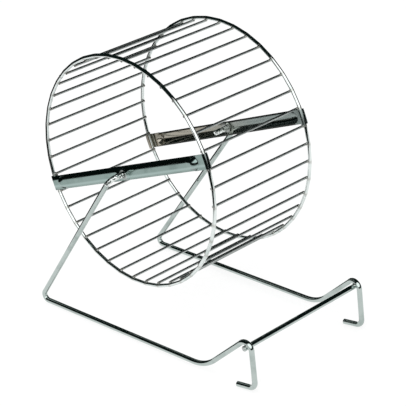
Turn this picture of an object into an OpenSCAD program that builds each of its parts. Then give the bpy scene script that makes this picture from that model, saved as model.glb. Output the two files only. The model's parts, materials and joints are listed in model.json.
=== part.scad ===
// Rodent exercise wheel: a drum of welded wire that spins on a bent wire stand.
// X runs along the stand from the knees to the hooks, Y runs along the axle with the
// front face at -Y, and Z points up. The origin lies on the floor, in the middle of
// the stand. All sizes are in millimetres and all angles in degrees.

/* [Wheel] */
// Diameter of each rim, at the middle of its wire
rim_d = 140; // [120:1:170]
// Thickness of the rim wires
rim_wire_d = 2.2; // [1.6:0.1:3]
// Width of the wheel, between the middles of its two rims
wheel_w = 79; // [50:1:110]
// Number of tread bars round the wheel
bar_count = 40; // [24:2:44]
// Thickness of the tread bars
bar_d = 1.5; // [1:0.1:2]
// Depth that the ends of the tread bars are set into the rims
bar_seat = 0.3; // [0.1:0.05:0.4]
// How far the wheel is turned where it stands, measured at its axle strips
wheel_turn = 21; // [0:1:90]

/* [Axle strips] */
// Width of each axle strip
strip_w = 8.8; // [7.6:0.2:11]
// Thickness of the sheet that the strips are pressed from
sheet_t = 0.8; // [0.5:0.1:1.2]
// Height of the half-round rib pressed into each strip
rib_h = 3; // [2:0.25:3.75]
// Flat length left at each end of a strip, from the end of its rib to the rim
flat_l = 9; // [7:0.5:16]
// Length of the lip that is folded back behind each rim
lip_l = 1.2; // [0.6:0.1:1.6]
// Width of the flat seat pressed round each axle hole
seat_rim = 0.9; // [0.7:0.1:1.2]

/* [Stand] */
// Thickness of the stand wires
stand_wire_d = 3.2; // [2.6:0.1:4.2]
// Height of the lowest point of the wheel above the middle of the ground wires
under_wheel = 33; // [20:0.5:60]
// How far the axle wires reach past the rims into the wheel
stub_in = 6.5; // [5.5:0.5:12]
// Straight length of axle wire between its outer ear and the bend into the leg
stub_out = 0.8; // [0.4:0.2:6]
// Distance from the axle back to the corner of the knees
knee_back = 78; // [60:0.5:95]
// Distance from the axle forward to the corner where the ground wires rise
foot_front = 65; // [45:0.5:80]
// Height that the ground wires gain between the knees and that corner
foot_rise = 4; // [0:0.2:8]
// Distance from that corner to the corner of the peaks
peak_run = 34.5; // [30:0.5:55]
// Height of the corner of the peaks
peak_h = 34.8; // [26:0.2:45]
// How far the hooks lean out below the peaks
hook_lean = 2.3; // [0:0.1:6]
// Length of the returned end of each hook
hook_l = 14.2; // [10:0.2:20]
// Slope of the returned end of each hook, down to its tip
hook_slope = 8.7; // [2:0.1:14]
// Inside radius of the bend from the axle wire into the leg
pivot_bend = 3.4; // [2:0.2:8]
// Inside radius of the knees
knee_bend = 1.8; // [1.2:0.2:6]
// Inside radius of the bends where the ground wires rise
foot_bend = 24; // [2:0.5:28]
// Inside radius of the bends at the peaks and the hooks
hook_bend = 2.8; // [2.2:0.1:4]
// Distance that each knee stands in from the bend at the axle
knee_in = 4; // [0:0.2:6]
// Distance that each rising corner stands in from the bend at the axle
foot_in = 5; // [0:0.2:8]
// Distance that each hook stands in from the bend at the axle
hook_in = 7.4; // [0:0.2:10]
// Length of cross bar that shows past each side wire
bar_over = 0.8; // [0.4:0.1:3]
// Width across the flattened ears on the axle wires
ear_wide = 1.8; // [1.2:0.1:2.4]
// Thickness of the flattened ears
ear_t = 1.2; // [0.8:0.1:1.8]

/* [Fits] */
// Clearance between the axle wire and the hole in each strip, all round
axle_gap = 0.08; // [0.03:0.01:0.1]
// Clearance between each strip and the ears on either side of it
ear_gap = 0.5; // [0.35:0.05:1]
// Clearance between each folded tab and the rim wire that it grips
grip_gap = 0.05; // [0.02:0.01:0.15]
// Least clearance between each folded tab and the tread bars beside it
tab_gap = 0.15; // [0.1:0.05:0.5]
// Depth of the chamfer on the cut ends of the stand wires
end_chamfer = 0.4; // [0.2:0.1:0.8]
// How much the stand wires swell, all round, where they are bent
bend_swell = 0.02; // [0.02:0.01:0.1]

/* [Hidden] */
$fn = 64;
rim_r = rim_d / 2;
rim_wire_r = rim_wire_d / 2;
bar_r = bar_d / 2;
stand_wire_r = stand_wire_d / 2;

// The tread bars are set into the inside of the rims and end at the middle of their wires.
bar_ring_r = rim_r - rim_wire_r - bar_r + bar_seat;
bar_pitch = 360 / bar_count;

// Sizes across a strip. Each w is a height above the middle plane of the rim.
back_w = rim_wire_r + grip_gap;
crest_w = back_w + rib_h;
rib_out_r = (pow(strip_w / 2, 2) + pow(rib_h, 2)) / (2 * rib_h);
rib_in_r = rib_out_r - sheet_t;
rib_axis_w = crest_w - rib_out_r;
rib_end = rim_r - flat_l;
fold_out_r = back_w + sheet_t;

// Sizes of the pressed seat round each axle hole.
hole_d = stand_wire_d + 2 * axle_gap;
seat_r = hole_d / 2 + seat_rim;
seat_w = rib_axis_w + sqrt(pow(rib_out_r, 2) - pow(seat_r, 2));

// The ears stand either side of each strip and keep the wheel between the legs.
ear_r = stand_wire_r + ear_wide / 2;
ear_half = sqrt(pow(ear_r, 2) - pow(stand_wire_r, 2));
inner_ear_y = wheel_w / 2 + seat_w - sheet_t - ear_gap - ear_half;
outer_ear_y = wheel_w / 2 + crest_w + ear_gap + ear_half;

// Each straight length of wire runs a little way into the bend beside it.
run_in = 0.2;
bent_wire_r = stand_wire_r + bend_swell;

// Corners of one side wire, from the axle to the tip of the hook, with the axle over
// x = 0 and the corner of the knee at z = 0. The bends round them off.
pivot_r = pivot_bend + stand_wire_r;
knee_r = knee_bend + stand_wire_r;
foot_r = foot_bend + stand_wire_r;
hook_r = hook_bend + stand_wire_r;
bend_radii = [pivot_r, knee_r, foot_r, hook_r, hook_r];

axle_up = rim_r + rim_wire_r + under_wheel;
pivot_y = outer_ear_y + ear_half + stub_out + pivot_r;
hook_y = pivot_y - hook_in;
hook_x = foot_front + peak_run + hook_lean;

stub_end = [0, wheel_w / 2 - stub_in, axle_up];
pivot_corner = [0, pivot_y, axle_up];
knee_corner = [-knee_back, pivot_y - knee_in, 0];
foot_corner = [foot_front, pivot_y - foot_in, foot_rise];
peak_corner = [foot_front + peak_run, hook_y, peak_h];

// The knees and the tips of the hooks rest on one floor.
knee_low = bend_reach(pivot_corner, knee_corner, foot_corner, knee_r, 2, -1);
floor_z = knee_low - bent_wire_r;
tip_z = floor_z + stand_wire_r * cos(hook_slope) - end_chamfer * sin(hook_slope);
hook_corner = [hook_x, hook_y, tip_z + hook_l * sin(hook_slope)];
hook_tip = [hook_x - hook_l * cos(hook_slope), hook_y, tip_z];

// The origin is below the middle of the stand, on the floor.
back_x = bend_reach(pivot_corner, knee_corner, foot_corner, knee_r, 0, -1) - bent_wire_r;
front_x = bend_reach(peak_corner, hook_corner, hook_tip, hook_r, 0, 1) + bent_wire_r;
axle_x = -(back_x + front_x) / 2;
axle_z = axle_up - floor_z;
place = [axle_x, 0, -floor_z];

corners = [
    for (p = [stub_end, pivot_corner, knee_corner, foot_corner,
              peak_corner, hook_corner, hook_tip])
        p + place
];

// The cross bar lies in the crook of both peaks, against the inside of the bends.
peak_middle = bend_middle(corners[3], corners[4], corners[5], hook_r);
crook_r = hook_r - bent_wire_r - stand_wire_r;
crook = peak_middle + unit(corners[4] - peak_middle) * crook_r;
cross_bar_l = 2 * (hook_y + stand_wire_r + bar_over);

FRONT = -1;
BACK = 1;
bar_names = [for (i = [1:bar_count]) str("tread_bar_", i < 10 ? "0" : "", i)];

// Vector of length 1 along v
function unit(v) = v / norm(v);

// Angle by which a wire turns at corner b, on its way from a to c
function turn(a, b, c) = acos(unit(b - a) * unit(c - b));

// Distance from corner b to where a bend of middle radius r begins
function trim(a, b, c, r) = r * tan(turn(a, b, c) / 2);

// Centre of the bend of middle radius r at corner b
function bend_middle(a, b, c, r) =
    b + unit(unit(c - b) - unit(b - a)) * r / cos(turn(a, b, c) / 2);

// Direction from the centre of the bend to the point where it begins
function bend_side(a, b, c, r) =
    unit(b - unit(b - a) * trim(a, b, c, r) - bend_middle(a, b, c, r));

// Coordinate of the point of the bend that lies furthest along one axis, towards sign
function bend_reach(a, b, c, r, axis, sign) =
    bend_middle(a, b, c, r)[axis]
        + sign * r * norm([bend_side(a, b, c, r)[axis], unit(b - a)[axis]]);

// Turns a shape that points up so that it starts at p and points along v.
module along(p, v) {
    translate(p)
        rotate([0, acos(unit(v)[2]), atan2(v[1], v[0])])
            children();
}

// Straight round wire from a to b, with chamfers of depth cut_a and cut_b on its ends
module straight(a, b, r, cut_a, cut_b) {
    l = norm(b - a);
    start = cut_a > 0 ? [[r - cut_a, 0], [r, cut_a]] : [[r, 0]];
    finish = cut_b > 0 ? [[r, l - cut_b], [r - cut_b, l]] : [[r, l]];
    along(a, b - a)
        rotate_extrude()
            polygon(concat([[0, 0]], start, finish, [[0, l]]));
}

// Round bend at corner b of a wire that runs from a to c
module elbow(a, b, c, bend_r, r) {
    m = bend_middle(a, b, c, bend_r);
    x = bend_side(a, b, c, bend_r);
    y = unit(b - a);
    z = cross(x, y);
    multmatrix([
        [x[0], y[0], z[0], m[0]],
        [x[1], y[1], z[1], m[1]],
        [x[2], y[2], z[2], m[2]]
    ])
        rotate_extrude(angle = turn(a, b, c))
            translate([bend_r, 0])
                circle(r = r);
}

// One wire bent at each inner point of a path, with both ends chamfered
module bent_wire(path, radii) {
    last = len(path) - 1;
    trims = [
        for (i = [0:last])
            i == 0 || i == last
                ? 0
                : trim(path[i - 1], path[i], path[i + 1], radii[i - 1]) - run_in
    ];
    for (i = [0:last - 1]) {
        v = unit(path[i + 1] - path[i]);
        straight(
            path[i] + v * trims[i],
            path[i + 1] - v * trims[i + 1],
            stand_wire_r,
            i == 0 ? end_chamfer : 0,
            i == last - 1 ? end_chamfer : 0
        );
    }
    for (i = [1:last - 1])
        elbow(path[i - 1], path[i], path[i + 1], radii[i - 1], bent_wire_r);
}

// Ear pinched out of the axle wire on both sides, at distance y from the middle
module ear(y) {
    translate([axle_x, y, axle_z])
        intersection() {
            sphere(r = ear_r);
            cube([2 * ear_r, 2 * ear_r, ear_t], center = true);
        }
}

// Side wire on the back: axle wire, leg, knee, ground wire, peak and hook in one length
module side_wire() {
    bent_wire(corners, bend_radii);
    ear(inner_ear_y);
    ear(outer_ear_y);
}

module front_side_wire() {
    color("lightsteelblue")
        mirror([0, 1, 0])
            side_wire();
}

module back_side_wire() {
    color("lightsteelblue")
        side_wire();
}

// Straight bar that joins both peaks
module cross_bar() {
    half = [0, cross_bar_l / 2, 0];
    middle = [crook[0], 0, crook[2]];
    color("slategray")
        straight(middle - half, middle + half, stand_wire_r, end_chamfer, end_chamfer);
}

// Places what is drawn round the origin at the axle, turned as the wheel stands.
module on_wheel() {
    translate([axle_x, 0, axle_z])
        rotate([0, -wheel_turn, 0])
            children();
}

// Ring of wire round the axle, on one side of the wheel
module ring(side) {
    translate([0, side * wheel_w / 2, 0])
        rotate([90, 0, 0])
            rotate_extrude()
                translate([rim_r, 0])
                    circle(r = rim_wire_r);
}

module rim(side) {
    color("gainsboro")
        on_wheel()
            ring(side);
}

// One tread bar, with a saddle in each end where the rim wire lies across it. Bars stand
// half a pitch to either side of the axle strips.
module tread_bar(i) {
    color("dimgray")
        on_wheel()
            difference() {
                rotate([0, -(i - 0.5) * bar_pitch, 0])
                    translate([bar_ring_r, 0, 0])
                        rotate([90, 0, 0])
                            cylinder(r = bar_r, h = wheel_w, center = true);
                ring(FRONT);
                ring(BACK);
            }
}

// Half-round form that runs along a strip and ends in a dome at each end
module rib_form(r) {
    translate([0, 0, rib_axis_w]) {
        rotate([0, 90, 0])
            cylinder(r = r, h = 2 * rib_end, center = true);
        for (end = [-1, 1])
            translate([end * rib_end, 0, 0])
                sphere(r = r);
    }
}

// Outside of the rib, above the back face of the sheet
module rib_outside() {
    intersection() {
        rib_form(rib_out_r);
        translate([-rim_r, -strip_w, back_w])
            cube([2 * rim_r, 2 * strip_w, 2 * rib_h]);
    }
}

// Profile of a flat tab, its fold over the rim wire and its lip behind the rim
module tab_profile() {
    translate([rib_end, back_w])
        square([flat_l, sheet_t]);
    translate([rim_r - lip_l, -fold_out_r])
        square([lip_l, sheet_t]);
    translate([rim_r, 0])
        intersection() {
            difference() {
                circle(r = fold_out_r);
                circle(r = back_w);
            }
            translate([0, -fold_out_r])
                square([fold_out_r, 2 * fold_out_r]);
        }
}

// Both tabs of a strip, cut to width. Where a strip is wide enough to reach the tread
// bars beside it, the lips behind the rim are notched clear of them.
module tabs() {
    difference() {
        intersection() {
            rotate_extrude()
                tab_profile();
            cube([3 * rim_r, strip_w, 4 * fold_out_r], center = true);
        }
        for (end = [0, 180], side = [-1, 1])
            rotate([0, 0, end + side * bar_pitch / 2])
                translate([bar_ring_r, 0, -2 * fold_out_r])
                    cylinder(r = bar_r + tab_gap, h = 2 * fold_out_r);
    }
}

// One strip: x along it, y across it and z outwards from the middle plane of the rim
module strip() {
    difference() {
        union() {
            difference() {
                union() {
                    rib_outside();
                    tabs();
                }
                rib_form(rib_in_r);
            }
            intersection() {
                rib_outside();
                translate([0, 0, seat_w - sheet_t])
                    cylinder(r = seat_r + sheet_t, h = 2 * rib_h);
            }
        }
        translate([0, 0, seat_w])
            cylinder(r = seat_r, h = 2 * rib_h);
        cylinder(d = hole_d, h = 2 * crest_w);
    }
}

module front_axle_strip() {
    color("lightcyan")
        on_wheel()
            rotate([90, 0, 0])
                translate([0, 0, wheel_w / 2])
                    strip();
}

module back_axle_strip() {
    color("lightcyan")
        on_wheel()
            mirror([0, 1, 0])
                rotate([90, 0, 0])
                    translate([0, 0, wheel_w / 2])
                        strip();
}

rim(FRONT);  // front_rim
rim(BACK);  // back_rim
front_axle_strip();
back_axle_strip();
for (i = [1:bar_count])
    tread_bar(i);
front_side_wire();
back_side_wire();
cross_bar();
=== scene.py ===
# %% [markdown]
# # A rodent exercise wheel of welded wire
#
# The real object is all bright plated steel: two rings of round wire, forty thin tread
# bars welded inside them, two pressed strips that turn on the axle, and a stand bent from
# two lengths of thicker wire, with a bar across their peaks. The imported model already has
# each of these pieces at its true size. This lesson dresses it: it sets a camera, builds a
# small studio, gives each piece its plated finish, kinks the rims at their welds and adds
# the weld metal.

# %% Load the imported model
import json
import math

import bmesh
import bpy
from mathutils import Matrix, Vector


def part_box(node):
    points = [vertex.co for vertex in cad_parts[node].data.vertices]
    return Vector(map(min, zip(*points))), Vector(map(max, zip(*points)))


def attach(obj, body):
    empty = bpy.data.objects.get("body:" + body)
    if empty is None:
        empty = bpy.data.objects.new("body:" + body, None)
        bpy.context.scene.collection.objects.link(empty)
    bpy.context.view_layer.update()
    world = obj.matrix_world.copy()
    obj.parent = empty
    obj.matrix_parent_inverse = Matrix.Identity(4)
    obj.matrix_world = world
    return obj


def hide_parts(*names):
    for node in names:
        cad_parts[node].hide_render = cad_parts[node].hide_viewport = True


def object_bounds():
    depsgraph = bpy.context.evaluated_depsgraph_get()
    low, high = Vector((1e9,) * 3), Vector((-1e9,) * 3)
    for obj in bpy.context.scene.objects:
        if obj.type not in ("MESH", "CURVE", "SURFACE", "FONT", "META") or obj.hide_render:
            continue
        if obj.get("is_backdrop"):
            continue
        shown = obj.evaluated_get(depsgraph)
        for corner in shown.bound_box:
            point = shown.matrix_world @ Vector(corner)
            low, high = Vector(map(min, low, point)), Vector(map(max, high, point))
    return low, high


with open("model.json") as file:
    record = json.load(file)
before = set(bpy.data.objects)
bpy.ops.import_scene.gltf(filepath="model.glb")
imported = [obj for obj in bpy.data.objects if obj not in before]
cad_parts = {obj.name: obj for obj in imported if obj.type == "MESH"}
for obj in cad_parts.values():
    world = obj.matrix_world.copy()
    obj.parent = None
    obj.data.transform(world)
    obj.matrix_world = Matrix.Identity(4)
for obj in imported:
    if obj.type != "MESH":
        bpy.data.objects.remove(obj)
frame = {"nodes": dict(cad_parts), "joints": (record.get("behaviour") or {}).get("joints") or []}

cad_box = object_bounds()
nodes = frame["nodes"]
scene = bpy.context.scene
MM = 0.001

print("pieces:", len(nodes), "box in mm:", [round(v / MM, 2) for v in cad_box[1] - cad_box[0]])

# %% [markdown]
# ## Where things are
#
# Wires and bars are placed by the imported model, so the lesson measures what it can there
# and writes down only what a box cannot tell. The joint gives the axle. Half of a rim's
# box gives the radius of the wheel, and each tread bar's box the place of its welds.


# %% Measure the wheel
def middle(name):
    low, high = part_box(name)
    return (low + high) / 2


spin = next(j for j in frame["joints"] if j["name"] == "wheel_spin")
axle = Vector(spin["pos_m"])

rim_low, rim_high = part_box("front_rim")
rim_wire_r = (rim_high.y - rim_low.y) / 2
rim_r = (rim_high.z - rim_low.z) / 2 - rim_wire_r
rim_y = abs(middle("front_rim").y)
print("rim radius", round(rim_r / MM, 2), "wire radius", round(rim_wire_r / MM, 2), "mm")

# %% Measure the tread bars
bars = sorted(name for name in nodes if name.startswith("tread_bar_"))
bar_low, bar_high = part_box(bars[0])
bar_r = (bar_high.x - bar_low.x) / 2
print(len(bars), "bars of radius", round(bar_r / MM, 2), "mm")

pitch = 2 * math.pi / len(bars)
first_bar = middle(bars[0]) - axle
first_angle = math.atan2(first_bar.z, first_bar.x)
strip_angle = first_angle - pitch / 2
print("strips at", round(math.degrees(strip_angle), 1), "degrees")

# %% Measure the stand
bar_across = middle("cross_bar")
across_low, across_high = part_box("cross_bar")
stand_wire_r = (across_high.z - across_low.z) / 2
print("stand wire radius", round(stand_wire_r / MM, 2), "mm")

# %% [markdown]
# ## The camera
#
# The photograph looks down on the wheel from the front and to one side, through a long
# lens, with the camera leaning over a little. A camera can be dragged into place by eye,
# but here its three angles and its distance are known from the picture, so its axes are
# built from them. Its local x axis points right in the picture, y up, and z back to it.

# %% Camera at the photograph's angle
CAMERA_AZIMUTH = math.radians(45.909)
CAMERA_HEIGHT_ANGLE = math.radians(25.301)
CAMERA_LEAN = math.radians(-3.211)
CAMERA_DISTANCE = 1.01585
CAMERA_AIM = Vector((0.00600, 0.00061, 0.07676))
CAMERA_LENS = 152.85
CAMERA_NEAREST, CAMERA_FURTHEST = 0.05, 20

level = math.cos(CAMERA_HEIGHT_ANGLE)
look = Vector((
    -math.sin(CAMERA_AZIMUTH) * level,
    math.cos(CAMERA_AZIMUTH) * level,
    -math.sin(CAMERA_HEIGHT_ANGLE),
))
flat_right = Vector((math.cos(CAMERA_AZIMUTH), math.sin(CAMERA_AZIMUTH), 0))
lean = Matrix.Rotation(-CAMERA_LEAN, 3, look)
right = lean @ flat_right
up = right.cross(look)

camera = bpy.data.objects.new("camera", bpy.data.cameras.new("camera"))
scene.collection.objects.link(camera)
camera.data.lens = CAMERA_LENS
camera.data.clip_start, camera.data.clip_end = CAMERA_NEAREST, CAMERA_FURTHEST
camera.matrix_world = Matrix.Translation(CAMERA_AIM - look * CAMERA_DISTANCE) @ Matrix(
    (right, up, -look)
).transposed().to_4x4()
scene.camera = camera
print("camera at", [round(v, 4) for v in camera.location])

# %% [markdown]
# ## The studio
#
# Bright plating has almost no colour of its own: it shows the room. In the photograph
# every wire is pale where it faces the table, black where it faces the room, and white in
# one stretch near the camera. So the wheel stands on a white sheet that ends a hand's
# width before it and beside it, inside a dark tent with one long soft light in its wall.
# The tent and the ends of the sheet are seen by reflections only. The camera sees a plain
# white ground with a faint shadow.
#
# Shader nodes can be wired by hand in the editor. In a script, a few helpers that return
# the output of what they add let a formula be written line by line.


# %% Helpers that add a node and feed its sockets
def add(tree, kind, **values):
    made = tree.nodes.new(kind)
    for name, value in values.items():
        setattr(made, name, value)
    return made


def feed(tree, socket, value):
    # A number or a vector sets the socket, and anything else is linked to it
    if isinstance(value, (int, float, tuple, Vector)):
        socket.default_value = value
    else:
        tree.links.new(value, socket)


def math_node(tree, operation, *values, clamp=False):
    made = add(tree, "ShaderNodeMath", operation=operation, use_clamp=clamp)
    for slot, value in enumerate(values):
        feed(tree, made.inputs[slot], value)
    return made.outputs[0]


def vector_node(tree, operation, *values, out="Vector"):
    made = add(tree, "ShaderNodeVectorMath", operation=operation)
    for slot, value in enumerate(values):
        feed(tree, made.inputs[slot], value)
    return made.outputs[out]


# %% Helpers for sums, fades and distances
def plus(tree, first, second, clamp=False):
    return math_node(tree, "ADD", first, second, clamp=clamp)


def minus(tree, first, second):
    return math_node(tree, "SUBTRACT", first, second)


def times(tree, first, second, clamp=False):
    return math_node(tree, "MULTIPLY", first, second, clamp=clamp)


def dot(tree, first, second):
    return vector_node(tree, "DOT_PRODUCT", first, second, out="Value")


def split(tree, vector):
    made = add(tree, "ShaderNodeSeparateXYZ")
    feed(tree, made.inputs[0], vector)
    return made.outputs


def fade(tree, start, end, value, at_start=0.0, at_end=1.0):
    # Goes from one result to the other while the value goes from start to end
    made = add(tree, "ShaderNodeMapRange", clamp=True)
    for label, number in (
        ("From Min", start), ("From Max", end), ("To Min", at_start), ("To Max", at_end),
        ("Value", value),
    ):
        feed(tree, made.inputs[label], number)
    return made.outputs[0]


# %% Helpers that tell rays apart and mix shaders
def seen_rays(tree):
    # 1 where a ray comes from the camera, a reflection or a refraction
    path = add(tree, "ShaderNodeLightPath").outputs
    seen = math_node(tree, "MAXIMUM", path["Is Camera Ray"], path["Is Glossy Ray"])
    return math_node(tree, "MAXIMUM", seen, path["Is Transmission Ray"])


def mix_shaders(tree, share, first, second):
    made = add(tree, "ShaderNodeMixShader")
    for slot, value in enumerate((share, first.outputs[0], second.outputs[0])):
        feed(tree, made.inputs[slot], value)
    return made


# %% [markdown]
# ## The world
#
# The world shines in from all round. It has two strengths: 1 for the rays that look at
# it, which shows as pure white, and a softer one for the light that it gives, so that the
# shadow on the floor stays.

# %% The world: white to look at, soft light on the floor
SOFT_LIGHT = 0.85

world = bpy.data.worlds.new("studio")
world.use_nodes = True
scene.world = world
tree = world.node_tree
tree.nodes.clear()
soft = add(tree, "ShaderNodeBackground")
soft.inputs["Strength"].default_value = SOFT_LIGHT
white = add(tree, "ShaderNodeBackground")
for light in (soft, white):
    light.inputs["Color"].default_value = (1, 1, 1, 1)
sky = mix_shaders(tree, seen_rays(tree), soft, white)
feed(tree, add(tree, "ShaderNodeOutputWorld").inputs[0], sky.outputs[0])
print("world of", len(tree.nodes), "nodes")


# %% Helpers for meshes and materials
def finished(name, bm, material, smooth=True):
    # Turns a bmesh into an object at the origin, with its place in its mesh
    mesh = bpy.data.meshes.new(name)
    for face in bm.faces:
        face.smooth = smooth
    bm.to_mesh(mesh)
    bm.free()
    mesh.materials.append(material)
    made = bpy.data.objects.new(name, mesh)
    scene.collection.objects.link(made)
    print(name, len(mesh.polygons), "faces")
    return made


def blank_material(name):
    made = bpy.data.materials.new(name)
    made.use_nodes = True
    made.node_tree.nodes.clear()
    return made, made.node_tree


def close_material(tree, shader):
    feed(tree, add(tree, "ShaderNodeOutputMaterial").inputs[0], shader.outputs[0])
    print("material of", len(tree.nodes), "nodes")


# %% [markdown]
# ## The ground
#
# The photograph's ground is pure white with a shadow that can only just be seen. More
# light would whiten it, and would burn out the steel too. So most of what a ray sees of
# the floor is its own even glow, and the rest is a pale board that takes the shadow. In
# reflections the sheet ends in a straight dark edge at the front and on the left.

# %% The white sheet on a dark table
FLOOR_SIZE, FLOOR_SIDES = 2.5, 96
FLOOR_COLOUR = (0.95, 0.95, 0.95, 1)
FLOOR_GLOW = 1.06
TABLE_COLOUR = (0.004, 0.007, 0.006, 1)
SHADOW_SHARE = 0.3
SHEET_FRONT, SHEET_LEFT, SHEET_EDGE = -0.21, -0.23, 0.02

floor_finish, tree = blank_material("studio_floor")
board = add(tree, "ShaderNodeBsdfDiffuse")
board.inputs["Color"].default_value = FLOOR_COLOUR
glow = add(tree, "ShaderNodeEmission")
glow.inputs["Strength"].default_value = FLOOR_GLOW
sheet = mix_shaders(tree, times(tree, seen_rays(tree), 1 - SHADOW_SHARE), board, glow)

place = split(tree, add(tree, "ShaderNodeTexCoord").outputs["Object"])
past_front = fade(tree, SHEET_FRONT + SHEET_EDGE, SHEET_FRONT - SHEET_EDGE, place["Y"])
past_left = fade(tree, SHEET_LEFT + SHEET_EDGE, SHEET_LEFT - SHEET_EDGE, place["X"])
past_sheet = math_node(tree, "MAXIMUM", past_front, past_left)
reflected = add(tree, "ShaderNodeLightPath").outputs["Is Glossy Ray"]
table = add(tree, "ShaderNodeEmission")
table.inputs["Color"].default_value = TABLE_COLOUR
close_material(tree, mix_shaders(tree, times(tree, past_sheet, reflected), sheet, table))

bm = bmesh.new()
bmesh.ops.create_circle(bm, cap_ends=True, segments=FLOOR_SIDES, radius=FLOOR_SIZE)
floor = finished("studio_floor", bm, floor_finish, smooth=False)
floor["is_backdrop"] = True

# %% [markdown]
# ## The tent
#
# The room of the photograph shows only in the steel: black nearly everywhere, with one
# long bright window. Walls and a window could be built, but half a sphere whose colour
# depends on direction gives the same reflections. The window is an ellipse on it, with
# soft edges. Only reflections see the tent, so it neither darkens the floor nor shows
# behind the wheel.

# %% Where the tent's long light is
LIGHT_ACROSS = Vector((-0.69, 0, 0.72))
LIGHT_FACE = Vector((0.72, 0, 0.69))
LIGHT_HALF_WIDTH, LIGHT_HALF_LENGTH = 0.45, 0.78
LIGHT_MIDDLE_Y = -0.35
LIGHT_EDGE_OUT, LIGHT_EDGE_IN = 1.05, 0.8
FACING_FROM, FACING_TO = -0.35, -0.1

tent_finish, tree = blank_material("studio_tent")
around = vector_node(tree, "NORMALIZE", add(tree, "ShaderNodeTexCoord").outputs["Object"])
across = dot(tree, around, LIGHT_ACROSS / LIGHT_HALF_WIDTH)
from_middle = minus(tree, dot(tree, around, (0, 1, 0)), LIGHT_MIDDLE_Y)
along = math_node(tree, "DIVIDE", from_middle, LIGHT_HALF_LENGTH)
reach_squared = plus(tree, times(tree, across, across), times(tree, along, along))
reach = math_node(tree, "SQRT", reach_squared)
in_light = fade(tree, LIGHT_EDGE_OUT, LIGHT_EDGE_IN, reach)
facing = fade(tree, FACING_FROM, FACING_TO, dot(tree, around, LIGHT_FACE))
print("light of", LIGHT_HALF_WIDTH, "by", LIGHT_HALF_LENGTH, "tent radii to either side")

# %% The dark tent
TENT_COLOUR = (0.005, 0.0105, 0.0095, 1)
TENT_AROUND, TENT_RINGS = 64, 32
LIGHT_STRENGTH = 1.8

cloth = add(tree, "ShaderNodeEmission")
cloth.inputs["Color"].default_value = TENT_COLOUR
lamp_face = add(tree, "ShaderNodeEmission")
lamp_face.inputs["Strength"].default_value = LIGHT_STRENGTH
close_material(tree, mix_shaders(tree, times(tree, in_light, facing), cloth, lamp_face))

bm = bmesh.new()
bmesh.ops.create_uvsphere(
    bm, u_segments=TENT_AROUND, v_segments=TENT_RINGS, radius=FLOOR_SIZE
)
bmesh.ops.bisect_plane(
    bm, geom=bm.verts[:] + bm.edges[:] + bm.faces[:],
    plane_co=(0, 0, 0), plane_no=(0, 0, -1), clear_outer=True,
)
tent = finished("studio_tent", bm, tent_finish)
tent.visible_camera = tent.visible_diffuse = tent.visible_shadow = False
tent.visible_transmission = tent.visible_volume_scatter = False
tent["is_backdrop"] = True

# %% [markdown]
# ## The lamps
#
# Two square soft boxes light the floor and cast the faint shadow behind the wheel. The
# steel doesn't show them, because the tent's long light is already its highlight.


# %% Two lamps that light the floor and cast the shadow
def soft_box(name, place, size, strength):
    lamp = bpy.data.lights.new(name, "AREA")
    lamp.shape, lamp.size, lamp.energy = "SQUARE", size, strength
    made = bpy.data.objects.new(name, lamp)
    scene.collection.objects.link(made)
    made.location = place
    made.rotation_euler = (Vector(place) - axle).to_track_quat("Z", "Y").to_euler()
    made.visible_glossy = False
    print(name, strength, "W")


soft_box("soft_box_front", place=(0.8, -1.1, 1.1), size=0.9, strength=9)
soft_box("soft_box_left", place=(-0.9, -1.1, 1.5), size=0.5, strength=5)

# %% [markdown]
# ## Plated steel
#
# All the pieces are nickel plated steel, which is a metal in the shader: Metallic is 1
# and Base Color is what it reflects. One flat colour would look like plastic, because
# plating is never even. So faint clouds and fine specks change its tint and its
# roughness. They are one node group, used in each finish with its own values, and the
# shader stays in the material.


# %% Helpers for node groups
def node_group(name, inputs, outputs):
    tree = bpy.data.node_groups.new(name, "ShaderNodeTree")
    for label, kind, value in inputs:
        made = tree.interface.new_socket(label, in_out="INPUT", socket_type="NodeSocket" + kind)
        if value is not None:
            made.default_value = value
    for label, kind in outputs:
        tree.interface.new_socket(label, in_out="OUTPUT", socket_type="NodeSocket" + kind)
    return tree, add(tree, "NodeGroupInput").outputs, add(tree, "NodeGroupOutput").inputs


def use_group(tree, group, **values):
    made = add(tree, "ShaderNodeGroup", node_tree=group)
    for label, value in values.items():
        feed(tree, made.inputs[label.replace("_", " ")], value)
    return made.outputs


# %% Helpers for noise and tints
def noise(tree, place, scale, detail=2.0):
    made = add(tree, "ShaderNodeTexNoise")
    for label, value in (("Vector", place), ("Scale", scale), ("Detail", detail)):
        feed(tree, made.inputs[label], value)
    return made.outputs[0]


def blend(tree, share, first, second):
    made = add(tree, "ShaderNodeMix", data_type="RGBA")
    for label, value in (("Factor", share), ("A", first), ("B", second)):
        feed(tree, made.inputs[label], value)
    return made.outputs["Result"]


# %% Node group: clouds in the plating
CLOUD_DETAIL, SPECK_DETAIL = 4, 6
CLOUD_FROM, CLOUD_TO = 0.48, 0.72
SPECK_FROM, SPECK_TO = 0.55, 0.75
SPECKS_FINER = 14
SPECK_SHARE = 0.35

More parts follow.
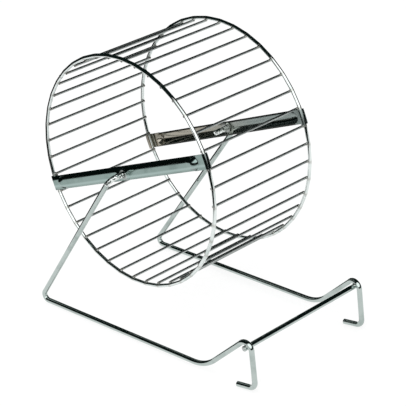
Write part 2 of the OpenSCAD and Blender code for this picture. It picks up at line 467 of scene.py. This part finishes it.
clouds, into, out = node_group(
    "plating_clouds",
    [
        ("Vector", "Vector", None),
        ("Clean", "Color", (0.8, 0.82, 0.82, 1)),
        ("Cloudy", "Color", (0.6, 0.64, 0.63, 1)),
        ("Cloud Scale", "Float", 90.0),
        ("Smooth", "Float", 0.05),
        ("Dull", "Float", 0.2),
    ],
    [("Colour", "Color"), ("Roughness", "Float"), ("Height", "Float")],
)
wide = noise(clouds, into["Vector"], into["Cloud Scale"], CLOUD_DETAIL)
speck_scale = times(clouds, into["Cloud Scale"], SPECKS_FINER)
fine = noise(clouds, into["Vector"], speck_scale, SPECK_DETAIL)
cloudy = fade(clouds, CLOUD_FROM, CLOUD_TO, wide)
specks = fade(clouds, SPECK_FROM, SPECK_TO, fine)
both = plus(clouds, cloudy, times(clouds, specks, SPECK_SHARE), clamp=True)
feed(clouds, out["Colour"], blend(clouds, both, into["Clean"], into["Cloudy"]))
feed(clouds, out["Roughness"], fade(clouds, 0.0, 1.0, both, into["Smooth"], into["Dull"]))
feed(clouds, out["Height"], fine)
print(clouds.name, len(clouds.nodes), "nodes")

# %% [markdown]
# ## Marks of making and use
#
# Plating over a weld is duller and a little brown, wire that stands on a table is
# scuffed, and the ears and the strips rub on each other. Each mark is a mask: 0 on clean
# plating and 1 in the mark. Masks could be painted by hand, but the places of the welds,
# the floor and the axle are known, so a formula finds them on every piece. One more group
# lays a mark over the clouds, so that every finish can carry several.

# %% Node group: the mark round each weld of a rim
rim_welds, into, out = node_group(
    "rim_weld_marks",
    [
        ("Vector", "Vector", None),
        ("Axle", "Vector", (0, 0, 0)),
        ("First Angle", "Float", 0.0),
        ("Pitch", "Float", 0.157),
        ("Reach", "Float", 0.02),
    ],
    [("Mask", "Float")],
)
arm = split(rim_welds, vector_node(rim_welds, "SUBTRACT", into["Vector"], into["Axle"]))
angle = math_node(rim_welds, "ARCTAN2", arm["Z"], arm["X"])
from_first = minus(rim_welds, angle, into["First Angle"])
pitches = math_node(rim_welds, "DIVIDE", from_first, into["Pitch"])
off_weld = minus(rim_welds, pitches, math_node(rim_welds, "ROUND", pitches))
from_weld = times(rim_welds, math_node(rim_welds, "ABSOLUTE", off_weld), into["Pitch"])
feed(rim_welds, out["Mask"], fade(rim_welds, into["Reach"], 0.0, from_weld))
print(rim_welds.name, len(rim_welds.nodes), "nodes")

# %% Node group: a broken mark that fades with distance from a plane
GRAIN_SCALE = 900
GRAIN_FROM, GRAIN_TO = 0.35, 0.6
THINNEST = 0.45

band_mark, into, out = node_group(
    "band_mark",
    [
        ("Vector", "Vector", None),
        ("Along", "Vector", (0, 0, 1)),
        ("Full", "Float", 0.0),
        ("Gone", "Float", 0.001),
    ],
    [("Mask", "Float")],
)
off_plane = math_node(band_mark, "ABSOLUTE", dot(band_mark, into["Vector"], into["Along"]))
mask = fade(band_mark, into["Gone"], into["Full"], off_plane)
grain = noise(band_mark, into["Vector"], GRAIN_SCALE)
broken = fade(band_mark, GRAIN_FROM, GRAIN_TO, grain, THINNEST, 1.0)
feed(band_mark, out["Mask"], times(band_mark, mask, broken))
print(band_mark.name, len(band_mark.nodes), "nodes")


# %% Node group: what rubs round the axle
def off_axle(tree, place, axle_at):
    # Distance from the line of the axle, which runs along Y
    arm = vector_node(tree, "SUBTRACT", place, axle_at)
    flat = vector_node(tree, "MULTIPLY", arm, (1, 0, 1))
    return vector_node(tree, "LENGTH", flat, out="Value")


WEAR_EDGE = 1.25

axle_wear, into, out = node_group(
    "axle_hole_wear",
    [("Vector", "Vector", None), ("Axle", "Vector", (0, 0, 0)), ("Reach", "Float", 0.003)],
    [("Mask", "Float")],
)
distance = off_axle(axle_wear, into["Vector"], into["Axle"])
gone = times(axle_wear, into["Reach"], WEAR_EDGE)
feed(axle_wear, out["Mask"], fade(axle_wear, gone, into["Reach"], distance))
print(axle_wear.name, len(axle_wear.nodes), "nodes")

# %% Node group: lays a mark over a plated surface
marked, into, out = node_group(
    "marked_plating",
    [
        ("Colour", "Color", (0.8, 0.8, 0.8, 1)),
        ("Roughness", "Float", 0.1),
        ("Mask", "Float", 0.0),
        ("Mark Colour", "Color", (0.35, 0.33, 0.30, 1)),
        ("Mark Roughness", "Float", 0.45),
        ("Strength", "Float", 0.8),
    ],
    [("Colour", "Color"), ("Roughness", "Float")],
)
share = times(marked, into["Mask"], into["Strength"], clamp=True)
feed(marked, out["Colour"], blend(marked, share, into["Colour"], into["Mark Colour"]))
feed(
    marked, out["Roughness"],
    fade(marked, 0.0, 1.0, share, into["Roughness"], into["Mark Roughness"]),
)
print(marked.name, len(marked.nodes), "nodes")

# %% [markdown]
# ## One recipe for every plated finish
#
# Every finish on the wheel is the same plating with other values: a clean and a cloudy
# tint, a smooth and a dull roughness, and marks laid over them in turn. So one function
# builds them all. The fine specks also feed a faint bump, and a piece that is hammered or
# pressed adds its own height as a second bump on top.

# %% A helper that makes one plated finish with its marks
SPECK_DEEP, SPECK_STRENGTH = 0.02 * MM, 0.3


def plated(name, clean, cloudy, smooth, dull, cloud_scale=90.0, marks=(), relief_of=None):
    finish = bpy.data.materials.new(name)
    finish.use_nodes = True
    tree = finish.node_tree
    shader = tree.nodes["Principled BSDF"]
    shader.inputs["Metallic"].default_value = 1
    place = add(tree, "ShaderNodeTexCoord").outputs["Object"]
    plating = use_group(
        tree, clouds, Vector=place, Clean=(*clean, 1), Cloudy=(*cloudy, 1),
        Cloud_Scale=cloud_scale, Smooth=smooth, Dull=dull,
    )
    colour, roughness = plating["Colour"], plating["Roughness"]
    for make_mask, mark_colour, mark_roughness, strength in marks:
        laid = use_group(
            tree, marked, Colour=colour, Roughness=roughness, Mask=make_mask(tree, place),
            Mark_Colour=(*mark_colour, 1), Mark_Roughness=mark_roughness, Strength=strength,
        )
        colour, roughness = laid["Colour"], laid["Roughness"]
    feed(tree, shader.inputs["Base Color"], colour)
    feed(tree, shader.inputs["Roughness"], roughness)
    relief = add(tree, "ShaderNodeBump")
    relief.inputs["Distance"].default_value = SPECK_DEEP
    relief.inputs["Strength"].default_value = SPECK_STRENGTH
    feed(tree, relief.inputs["Height"], plating["Height"])
    if relief_of:
        shape = add(tree, "ShaderNodeBump")
        shape.inputs["Distance"].default_value = 1
        feed(tree, shape.inputs["Height"], relief_of(tree, place))
        feed(tree, shape.inputs["Normal"], relief.outputs[0])
        relief = shape
    feed(tree, shader.inputs["Normal"], relief.outputs[0])
    print(name, "with", len(marks), "marks")
    return finish


# %% The masks of the rims and the tread bars
WELD_REACH = 1.6 * MM
BAR_MARK_FULL, BAR_MARK_GONE = 0.8 * MM, 3.2 * MM


def weld_marks(tree, place):
    return use_group(
        tree, rim_welds, Vector=place, Axle=axle, First_Angle=first_angle, Pitch=pitch,
        Reach=WELD_REACH / rim_r,
    )["Mask"]


def bar_end_marks(tree, place):
    return use_group(
        tree, band_mark, Vector=place, Along=(0, 1, 0),
        Full=rim_y - BAR_MARK_FULL, Gone=rim_y - BAR_MARK_GONE,
    )["Mask"]


# %% The masks of the stand's wires
SCUFF_FULL, SCUFF_GONE = 0.1 * MM, 0.9 * MM
CUT_FULL, CUT_GONE = 0.05 * MM, 0.35 * MM
EAR_REACH = 3.6 * MM


def floor_scuffs(tree, place):
    return use_group(
        tree, band_mark, Vector=place, Full=SCUFF_FULL, Gone=SCUFF_GONE
    )["Mask"]


def cut_ends(tree, place):
    return use_group(
        tree, band_mark, Vector=place, Along=(0, 1, 0),
        Full=across_high.y - CUT_FULL, Gone=across_high.y - CUT_GONE,
    )["Mask"]


def rubbed_bright(tree, place):
    # The ears and the axle wire between them, which the strips keep bright
    return use_group(tree, axle_wear, Vector=place, Axle=axle, Reach=EAR_REACH)["Mask"]


# %% The mask round the axle holes of the strips
HOLE_REACH = 3.1 * MM


def ear_rub(tree, place):
    return use_group(tree, axle_wear, Vector=place, Axle=axle, Reach=HOLE_REACH)["Mask"]


# %% [markdown]
# ## The strips
#
# The strips are pressed from sheet, and the press leaves them with more tone than the
# wires. In the photo the rib looks flatter along its crest than the imported one, rolled
# over at both edges and twisted about 7 degrees towards the floor, so that only its upper
# edge mirrors the dark room. A height in the shader shows that. It reaches 1.9 mm at one
# edge, and it is in the shading alone: the mesh keeps the half-round of the imported strip.
#
# The inner face was shaded from the plating bath, so it is duller. On one half along the
# strip it is also lighter and warm. The cut edges of the sheet took little plating. A bright
# stripe along the outer face is a painted highlight of the rib. Where a point lies across
# the strip tells these faces apart, so no face has to be picked by hand. A box cannot tell
# the section, so its sizes are written here as they are in the imported model.

# %% Node group: the section of a strip. First, where a point lies
RIB_R, RIB_AXIS_W, RIB_END = 4.727 * MM, -0.577 * MM, 61 * MM
BACK_W, SHEET_T = 1.15 * MM, 0.8 * MM

section, into, out = node_group(
    "strip_section",
    [
        ("Vector", "Vector", None),
        ("Axle", "Vector", (0, 0, 0)),
        ("Along", "Vector", (1, 0, 0)),
        ("Up", "Vector", (0, 0, 1)),
        ("Outward", "Vector", (0, 1, 0)),
        ("Rim Plane", "Float", 0.04),
    ],
    [
        ("Height", "Float"), ("Inner", "Float"), ("Warm", "Float"), ("Cut", "Float"),
        ("Painted Highlight", "Float"),
    ],
)
arm = vector_node(section, "SUBTRACT", into["Vector"], into["Axle"])
reach = dot(section, arm, into["Along"])
aside = dot(section, arm, into["Up"])
outward = minus(section, dot(section, arm, into["Outward"]), into["Rim Plane"])
far = math_node(section, "ABSOLUTE", reach)
aside_squared = times(section, aside, aside)
print("a point's place takes", len(section.nodes), "nodes")

# %% The inner face, its warm half and the cut edges
INNER_FROM, INNER_TO = 0.35 * SHEET_T, 0.55 * SHEET_T
BACK_FROM, BACK_TO = 0.12 * MM, 0.04 * MM
RIB_END_FADE = 0.2 * MM
WARM_FADE = 25 * MM

on_rib = fade(section, RIB_END + RIB_END_FADE, RIB_END, far)
past_end = math_node(section, "MAXIMUM", minus(section, far, RIB_END), 0.0)
from_rib_axis = add(section, "ShaderNodeCombineXYZ")
feed(section, from_rib_axis.inputs["X"], past_end)
feed(section, from_rib_axis.inputs["Y"], aside)
feed(section, from_rib_axis.inputs["Z"], minus(section, outward, RIB_AXIS_W))
radius = vector_node(section, "LENGTH", from_rib_axis.outputs[0], out="Value")
rib_inner = fade(section, RIB_R - INNER_FROM, RIB_R - INNER_TO, radius)
on_back = fade(section, BACK_W + BACK_FROM, BACK_W + BACK_TO, outward)
inner = math_node(section, "MAXIMUM", rib_inner, on_back)
warm = times(section, inner, fade(section, WARM_FADE, -WARM_FADE, reach))
feed(section, out["Inner"], inner)
feed(section, out["Warm"], warm)
feed(section, out["Cut"], times(section, on_back, on_rib))
print("its faces", len(section.nodes), "nodes")

# %% The bright stripe: a painted highlight along the outer face of the rib
STRIPE_AT, STRIPE_WIDE, STRIPE_CORE = -2 * MM, 1.1 * MM, 0.3

from_stripe = math_node(section, "ABSOLUTE", minus(section, aside, STRIPE_AT))
stripe = fade(section, STRIPE_WIDE, STRIPE_CORE * STRIPE_WIDE, from_stripe)
feed(section, out["Painted Highlight"], times(section, stripe, minus(section, 1.0, inner)))
print("stripe", round(STRIPE_WIDE / MM, 1), "mm to either side")

# %% The pressed form: a flattened crest, rolled edges and a slight twist
ROLL_FROM, ROLL_TO, ROLL_DEEP = 1.2 * MM, 4.4 * MM, 1.2 * MM
SEAT_R, SEAT_FADE, FOLD_FADE = 3.2 * MM, 3 * MM, 3.5 * MM
BULGE_LEVEL = 0.45 * MM
TWIST = 0.13
INNER_FLATTENED = 0.5

rolled = fade(section, ROLL_FROM, ROLL_TO, math_node(section, "ABSOLUTE", aside))
roll_deep = fade(section, RIB_END, RIB_END + FOLD_FADE, reach, ROLL_DEEP, 0.0)
roll = times(section, times(section, rolled, rolled), roll_deep)
crest_squared = math_node(section, "MAXIMUM", minus(section, RIB_R**2, aside_squared), 0.0)
bulge = minus(section, RIB_R, math_node(section, "SQRT", crest_squared))
reach_squared = times(section, reach, reach)
from_axle = math_node(section, "SQRT", plus(section, aside_squared, reach_squared))
past_seat = fade(section, SEAT_R, SEAT_R + SEAT_FADE, from_axle)
flattened = times(section, fade(section, RIB_END, RIB_END - FOLD_FADE, far), past_seat)
levelled = times(section, minus(section, bulge, BULGE_LEVEL), flattened)
twisted = minus(section, times(section, aside, TWIST), roll)
outer_height = plus(section, levelled, times(section, twisted, past_seat))
inner_height = times(section, levelled, -INNER_FLATTENED)
feed(section, out["Height"], fade(section, 0.0, 1.0, inner, outer_height, inner_height))
print(section.name, len(section.nodes), "nodes")


# %% A helper that finds one of the section's values on one side's strip
def strip_value(side, label):
    def value(tree, place):
        return use_group(
            tree, section, Vector=place, Axle=axle,
            Along=(math.cos(strip_angle), 0, math.sin(strip_angle)),
            Up=(-math.sin(strip_angle), 0, math.cos(strip_angle)),
            Outward=(0, side, 0), Rim_Plane=rim_y,
        )[label]
    return value


# %% [markdown]
# ## The ears
#
# On either side of each strip the axle wire is hammered flat, which keeps the wheel from
# sliding along it. The blows leave small facets that flash white and black. They could be
# sculpted, but they are a fraction of a pixel high. A coarse noise as height, only near
# the axle, gives the same flashes.

# %% Node group: the ears, hammered flat beside the strips
BLOWS_SCALE, BLOWS_DETAIL = 550, 1
HAMMERED_EDGE = 1.5
BLOWS_DEEP = 0.9 * MM

hammered, into, out = node_group(
    "hammered_ears",
    [
        ("Vector", "Vector", None),
        ("Axle", "Vector", (0, 0, 0)),
        ("Reach", "Float", 0.004),
        ("Deep", "Float", 0.0001),
    ],
    [("Height", "Float")],
)
blows = noise(hammered, into["Vector"], BLOWS_SCALE, BLOWS_DETAIL)
distance = off_axle(hammered, into["Vector"], into["Axle"])
gone = times(hammered, into["Reach"], HAMMERED_EDGE)
near = fade(hammered, gone, into["Reach"], distance, 0.0, into["Deep"])
feed(hammered, out["Height"], times(hammered, blows, near))
print(hammered.name, len(hammered.nodes), "nodes")


def ear_relief(tree, place):
    return use_group(
        tree, hammered, Vector=place, Axle=axle, Reach=EAR_REACH, Deep=BLOWS_DEEP
    )["Height"]


# %% [markdown]
# ## The finishes
#
# The rims are the brightest wire. The thin tread bars are the dullest. The stand wires
# are smooth and a little darker than the rims, and the strips are greenish and darker
# still. Each value was set by holding the render beside the photograph. Every mark gives
# where it lies, its tint, its roughness and its strength.

# %% The tints of the marks
WELD_TINT = (0.40, 0.38, 0.34)
# The stripe's tint paints a highlight along each strip's rib
RIB_HIGHLIGHT_TINT = (0.35, 0.45, 0.43)
SCUFF_TINT = (0.45, 0.47, 0.46)
BRIGHT_TINT = (0.86, 0.90, 0.88)
INNER_TINT = (0.25, 0.29, 0.28)
WARM_TINT = (0.35, 0.33, 0.28)
CUT_TINT = (0.06, 0.065, 0.06)

# %% Finishes of the wheel's wires and of weld metal
rim_finish = plated(
    "rim_plating", clean=(0.74, 0.79, 0.775), cloudy=(0.56, 0.62, 0.60),
    smooth=0.04, dull=0.16, marks=[(weld_marks, WELD_TINT, 0.4, 0.55)],
)
bar_finish = plated(
    "bar_plating", clean=(0.43, 0.46, 0.45), cloudy=(0.33, 0.36, 0.35),
    smooth=0.32, dull=0.46, marks=[(bar_end_marks, WELD_TINT, 0.5, 0.7)],
)
weld_finish = plated(
    "weld_metal", clean=(0.52, 0.54, 0.52), cloudy=(0.40, 0.40, 0.37),
    smooth=0.16, dull=0.36, cloud_scale=300.0,
)

# %% Finishes of the stand
STAND_CLEAN, STAND_CLOUDY = (0.47, 0.53, 0.51), (0.35, 0.41, 0.39)

stand_finish = plated(
    "stand_plating", clean=STAND_CLEAN, cloudy=STAND_CLOUDY, smooth=0.03, dull=0.1,
    marks=[(floor_scuffs, SCUFF_TINT, 0.5, 0.7), (rubbed_bright, BRIGHT_TINT, 0.12, 0.9)],
    relief_of=ear_relief,
)
cross_finish = plated(
    "cross_bar_plating", clean=STAND_CLEAN, cloudy=STAND_CLOUDY, smooth=0.03, dull=0.1,
    marks=[(cut_ends, SCUFF_TINT, 0.55, 0.9)],
)

# %% Finishes of the strips
strip_finish = {
    side: plated(
        f"{name}_strip_plating", clean=(0.25, 0.33, 0.31), cloudy=(0.195, 0.27, 0.25),
        smooth=0.13, dull=0.25,
        marks=[
            (strip_value(side, "Inner"), INNER_TINT, 0.14, 1.0),
            (strip_value(side, "Warm"), WARM_TINT, 0.14, 1.0),
            (strip_value(side, "Cut"), CUT_TINT, 0.5, 1.0),
            # the stripe is a painted highlight along the rib's outer face
            (strip_value(side, "Painted Highlight"), RIB_HIGHLIGHT_TINT, 0.12, 0.9),
            (ear_rub, SCUFF_TINT, 0.3, 0.7),
        ],
        relief_of=strip_value(side, "Height"),
    )
    for name, side in (("front", -1), ("back", 1))
}

# %% [markdown]
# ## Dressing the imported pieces
#
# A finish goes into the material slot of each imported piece, whose mesh is left as it is.
# The two rims are dressed in the next step, by pieces of their own.


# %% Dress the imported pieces
def dress(name, finish):
    for slot in nodes[name].material_slots:
        slot.material = finish


for name in bars:
    dress(name, bar_finish)
dress("front_axle_strip", strip_finish[-1])
dress("back_axle_strip", strip_finish[1])
for name in ("front_side_wire", "back_side_wire"):
    dress(name, stand_finish)
dress("cross_bar", cross_finish)
print("dressed", len(nodes) - 2, "packed pieces")

# %% [markdown]
# ## Rims with a kink at each weld
#
# A rim is rolled as a round ring, but each spot weld bites it against a bar, and the wire
# between two welds ends up almost straight. The eye reads that in the reflections, which
# jump from one length to the next. So each packed rim is shown by a ring of its own size,
# spun from a circle in many steps and then drawn in between the welds by a sixth of a
# millimetre at most.

# %% A helper that draws a ring in between its welds
STRAIGHTENED = 0.8


def draw_in(ring, heart):
    for vert in ring.verts:
        arm = vert.co - heart
        angle = math.atan2(arm.z, arm.x)
        off_middle = (angle - first_angle) % pitch - pitch / 2
        chord = math.cos(pitch / 2) / math.cos(off_middle)
        outward = Vector((math.cos(angle), 0, math.sin(angle)))
        vert.co -= outward * rim_r * (1 - chord) * STRAIGHTENED


# %% Spin the rims and draw them in
STEPS_PER_BAR = 8
WIRE_SIDES = 20
SEAM = 0.001 * MM

for side, name in ((-1, "front"), (1, "back")):
    heart = axle + Vector((0, side * rim_y, 0))
    bm = bmesh.new()
    bmesh.ops.create_circle(
        bm, segments=WIRE_SIDES, radius=rim_wire_r,
        matrix=Matrix.Translation(heart + Vector((rim_r, 0, 0))),
    )
    bmesh.ops.spin(
        bm, geom=bm.verts[:] + bm.edges[:], cent=heart, axis=(0, 1, 0),
        angle=2 * math.pi, steps=len(bars) * STEPS_PER_BAR, use_merge=True,
    )
    bmesh.ops.remove_doubles(bm, verts=bm.verts, dist=SEAM)
    draw_in(bm, heart)
    bmesh.ops.recalc_face_normals(bm, faces=bm.faces)
    rim = finished(f"{name}_kinked_rim", bm, rim_finish)
    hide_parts(f"{name}_rim")
    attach(rim, "wheel")

# %% [markdown]
# ## Weld metal
#
# Where each bar is pressed onto a rim, the spot weld squeezes out a small bead of metal.
# A sphere that is flattened towards the axle has its shape, and a sphere of few faces is
# enough, because there are eighty of them. The ends of a rim's own wire meet in one larger
# bead, and a wide flat one holds each peak of the stand to the bar that crosses it.


# %% A helper that adds one bead
def bead(bm, place, out, along, deep, length, width, sides=10):
    sideways = out.cross(along)
    turn = Matrix((out, along, sideways)).transposed().to_4x4()
    bmesh.ops.create_uvsphere(
        bm, u_segments=sides, v_segments=sides * 2 // 3, radius=1,
        matrix=Matrix.Translation(place) @ turn @ Matrix.Diagonal((deep, length, width, 1)),
    )


# %% Beads where the bars meet the rims, and where each rim is closed
BEAD_DEEP, BEAD_ALONG, BEAD_ACROSS = 0.5 * MM, 0.95 * MM, 0.95 * MM
BEAD_INWARD = 0.45 * MM
JOIN_SWELL, JOIN_LENGTH = 1.13, 0.7 * MM
JOIN_AT = {-1: 12.5, 1: 31.5}

swell = rim_wire_r * JOIN_SWELL
pulled = rim_r * (1 - (1 - math.cos(pitch / 2)) * STRAIGHTENED)
for side, name in ((-1, "front"), (1, "back")):
    heart = axle + Vector((0, side * rim_y, 0))
    bm = bmesh.new()
    for bar in bars:
        outward = (middle(bar) - axle).normalized()
        spot = heart + outward * (rim_r - rim_wire_r) - Vector((0, side * BEAD_INWARD, 0))
        bead(bm, spot, outward, Vector((0, 1, 0)), BEAD_DEEP, BEAD_ALONG, BEAD_ACROSS)
    angle = first_angle + JOIN_AT[side] * pitch
    outward = Vector((math.cos(angle), 0, math.sin(angle)))
    forward = Vector((-math.sin(angle), 0, math.cos(angle)))
    bead(bm, heart + outward * pulled, outward, forward, swell, JOIN_LENGTH, swell, sides=18)
    bmesh.ops.recalc_face_normals(bm, faces=bm.faces)
    beads = finished(f"{name}_weld_beads", bm, weld_finish)
    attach(beads, "wheel")

# %% Beads between the cross bar and the peaks
PEAK_SIDE = math.radians(68)
PEAK_Y = 46.4 * MM
PEAK_BEAD = (0.62 * MM, 1.55 * MM, 1.5 * MM)

toward_peak = Vector((math.cos(PEAK_SIDE), 0, math.sin(PEAK_SIDE)))
for side, name in ((-1, "front"), (1, "back")):
    bm = bmesh.new()
    spot = bar_across + toward_peak * stand_wire_r
    spot.y = side * PEAK_Y
    bead(bm, spot, toward_peak, Vector((0, 1, 0)), *PEAK_BEAD, sides=24)
    bmesh.ops.recalc_face_normals(bm, faces=bm.faces)
    beads = finished(f"{name}_peak_weld", bm, weld_finish)
    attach(beads, "stand")
print("welded the cross bar at", [round(v / MM, 1) for v in spot])

# %% [markdown]
# ## Finish
#
# The view transform is Standard, so a colour renders as it is written. The box before and
# after is measured, and how much the dressed part outgrows the imported one is printed.
# The dressed part may not outgrow the imported one.

# %% View settings and sizes
scene.view_settings.view_transform = "Standard"
dressed_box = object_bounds()
lengths = zip(dressed_box[1] - dressed_box[0], cad_box[1] - cad_box[0])
print("grown by, in mm:", [round((dressed - packed) / MM, 3) for dressed, packed in lengths])
